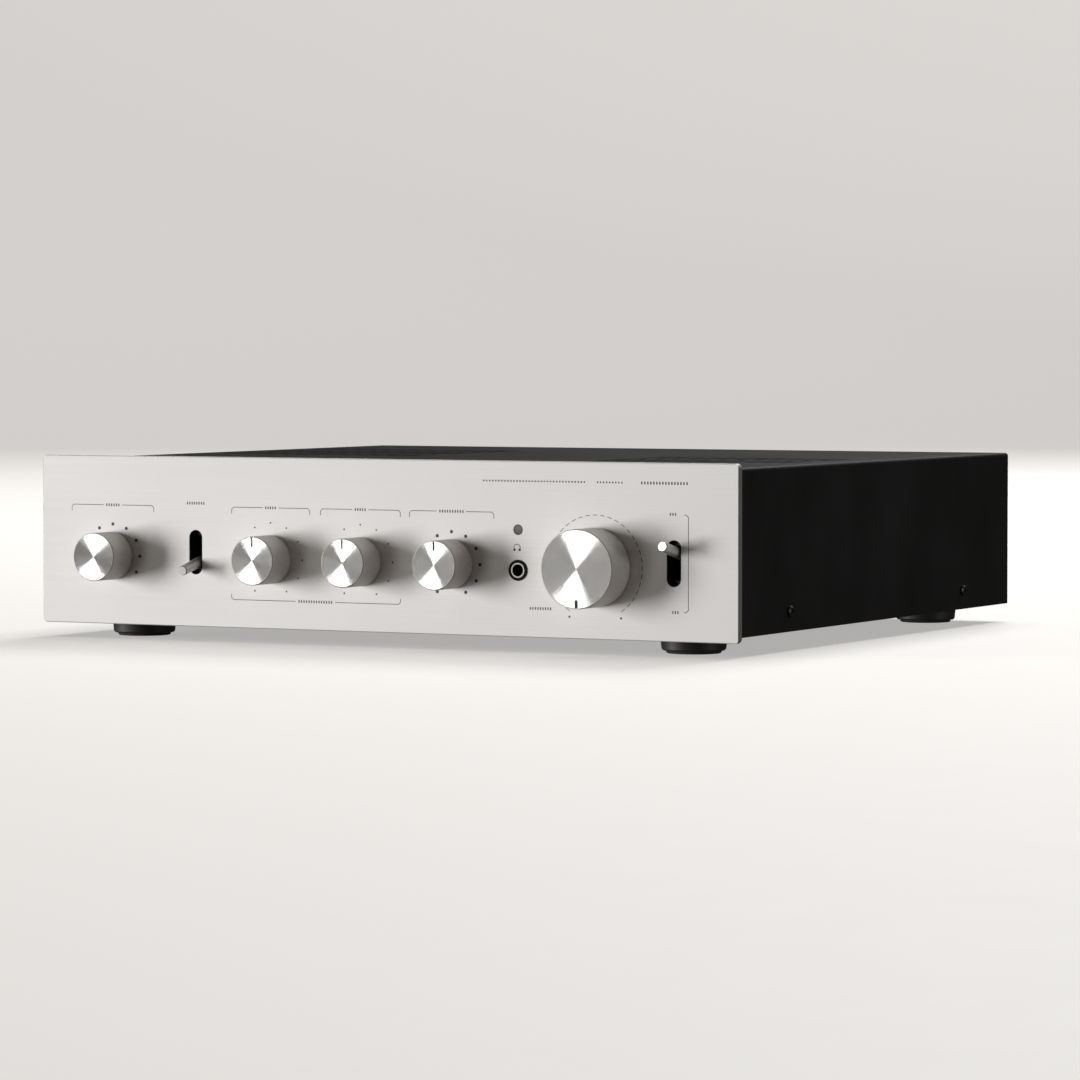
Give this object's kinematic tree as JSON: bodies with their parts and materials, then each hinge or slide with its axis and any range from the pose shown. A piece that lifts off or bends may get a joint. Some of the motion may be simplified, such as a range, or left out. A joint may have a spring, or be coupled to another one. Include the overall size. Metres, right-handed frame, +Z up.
{
  "type": "integrated amplifier",
  "caption": "Integrated stereo amplifier: brushed front plate with turned knobs and toggle levers, black folded steel case on round feet, sockets and binding posts at the back.",
  "frame": {"origin": "middle of the footprint, on the plane the feet rest on", "axes": "+Z up, the front plate and its controls face -Y, +X to the right as seen from the front"},
  "size_m": [0.43, 0.424, 0.1016],
  "materials": {
    "brushed_plate": "horizontally brushed, clear anodised",
    "turned_alloy": "turned, satin sides, circular grain on the faces",
    "black_case": "fine textured black powder coat",
    "zinc_sheet": "satin black coated steel",
    "black_screws": "black oxide",
    "plain_steel": "zinc plated",
    "foot_plastic": "fine moulded texture",
    "pad_rubber": "matt",
    "black_plastic": "moulded",
    "red_plastic": "moulded",
    "collar_plastic": "white upper row, red lower row",
    "gilt_metal": "gold flashed",
    "window_tint": "smoked, dark",
    "control_case": "moulded",
    "circuit_board": "green resist",
    "winding_tape": "yellow film tape over the winding",
    "sink_metal": "black anodised",
    "can_sleeve": "shrink sleeve",
    "wire_sleeve": "insulation"
  },
  "bodies": {
    "case": {"fascia": "brushed_plate", "top_cover": "black_case", "rear_panel": "black_case", "chassis_tray": "black_case", "sub_panel": "zinc_sheet", "cover_screws": "black_screws", "frame_screws": "plain_steel", "foot_screws": "plain_steel", "control_nuts": "plain_steel", "transformer_dish": "plain_steel", "transformer_bolt": "plain_steel", "standoffs": "plain_steel", "inlet_pins": "plain_steel", "foot_cups": "foot_plastic", "foot_pads": "pad_rubber", "transformer_pads": "pad_rubber", "mains_inlet": "black_plastic", "post_collars": "black_plastic", "jack_nut": "black_plastic", "tone_switch": "black_plastic", "power_switch": "black_plastic", "output_transistors": "black_plastic", "socket_collars": "collar_plastic", "input_sockets": "gilt_metal", "speaker_posts": "gilt_metal", "earth_post": "gilt_metal", "headphone_jack": "gilt_metal", "ir_window": "window_tint", "source_switch": "control_case", "bass_pot": "control_case", "treble_pot": "control_case", "mode_switch": "control_case", "volume_pot": "control_case", "volume_motor": "control_case", "relays": "control_case", "control_board": "circuit_board", "main_board": "circuit_board", "input_board": "circuit_board", "transformer": "winding_tape", "heat_sink": "sink_metal", "filter_capacitors": "can_sleeve", "internal_wires": "wire_sleeve"},
    "source_dial": {"source_knob": "turned_alloy", "source_shaft": "plain_steel"},
    "bass_dial": {"bass_knob": "turned_alloy", "bass_shaft": "plain_steel"},
    "treble_dial": {"treble_knob": "turned_alloy", "treble_shaft": "plain_steel"},
    "mode_dial": {"mode_knob": "turned_alloy", "mode_shaft": "plain_steel"},
    "volume_dial": {"volume_knob": "turned_alloy", "volume_shaft": "plain_steel"},
    "tone_toggle": {"tone_lever": "turned_alloy"},
    "power_toggle": {"power_lever": "turned_alloy"},
    "right_red_terminal": {"right_red_cap": "red_plastic"},
    "right_black_terminal": {"right_black_cap": "black_plastic"},
    "left_red_terminal": {"left_red_cap": "red_plastic"},
    "left_black_terminal": {"left_black_cap": "black_plastic"},
    "fuse_tray": {"fuse_drawer": "black_plastic"},
    "earth_thumb": {"earth_nut": "gilt_metal"}
  },
  "joints": [
    {"name": "source_turn", "type": "hinge", "parent": "case", "child": "source_dial", "pos_m": [-0.1688, -0.19, 0.046], "axis": [0, 1, 0], "range_deg": [-150, 150]},
    {"name": "bass_turn", "type": "hinge", "parent": "case", "child": "bass_dial", "pos_m": [-0.0671, -0.19, 0.046], "axis": [0, 1, 0], "range_deg": [-150, 150]},
    {"name": "treble_turn", "type": "hinge", "parent": "case", "child": "treble_dial", "pos_m": [-0.0108, -0.19, 0.046], "axis": [0, 1, 0], "range_deg": [-150, 150]},
    {"name": "mode_turn", "type": "hinge", "parent": "case", "child": "mode_dial", "pos_m": [0.0453, -0.19, 0.046], "axis": [0, 1, 0], "range_deg": [-150, 150]},
    {"name": "volume_turn", "type": "hinge", "parent": "case", "child": "volume_dial", "pos_m": [0.1315, -0.19, 0.046], "axis": [0, 1, 0], "range_deg": [0, 300]},
    {"name": "tone_flip", "type": "hinge", "parent": "case", "child": "tone_toggle", "pos_m": [-0.1149, -0.162, 0.049], "axis": [-1, 0, 0], "range_deg": [0, 25.8]},
    {"name": "power_flip", "type": "hinge", "parent": "case", "child": "power_toggle", "pos_m": [0.1776, -0.162, 0.049], "axis": [1, 0, 0], "range_deg": [0, 25.8]},
    {"name": "right_red_unscrew", "type": "slide", "parent": "case", "child": "right_red_terminal", "axis": [0, 1, 0], "range_m": [0, 0.006]},
    {"name": "right_black_unscrew", "type": "slide", "parent": "case", "child": "right_black_terminal", "axis": [0, 1, 0], "range_m": [0, 0.006]},
    {"name": "left_red_unscrew", "type": "slide", "parent": "case", "child": "left_red_terminal", "axis": [0, 1, 0], "range_m": [0, 0.006]},
    {"name": "left_black_unscrew", "type": "slide", "parent": "case", "child": "left_black_terminal", "axis": [0, 1, 0], "range_m": [0, 0.006]},
    {"name": "fuse_pull", "type": "slide", "parent": "case", "child": "fuse_tray", "axis": [0, 1, 0], "range_m": [0, 0.016]},
    {"name": "earth_unscrew", "type": "slide", "parent": "case", "child": "earth_thumb", "axis": [0, 1, 0], "range_m": [0, 0.004]}
  ]
}
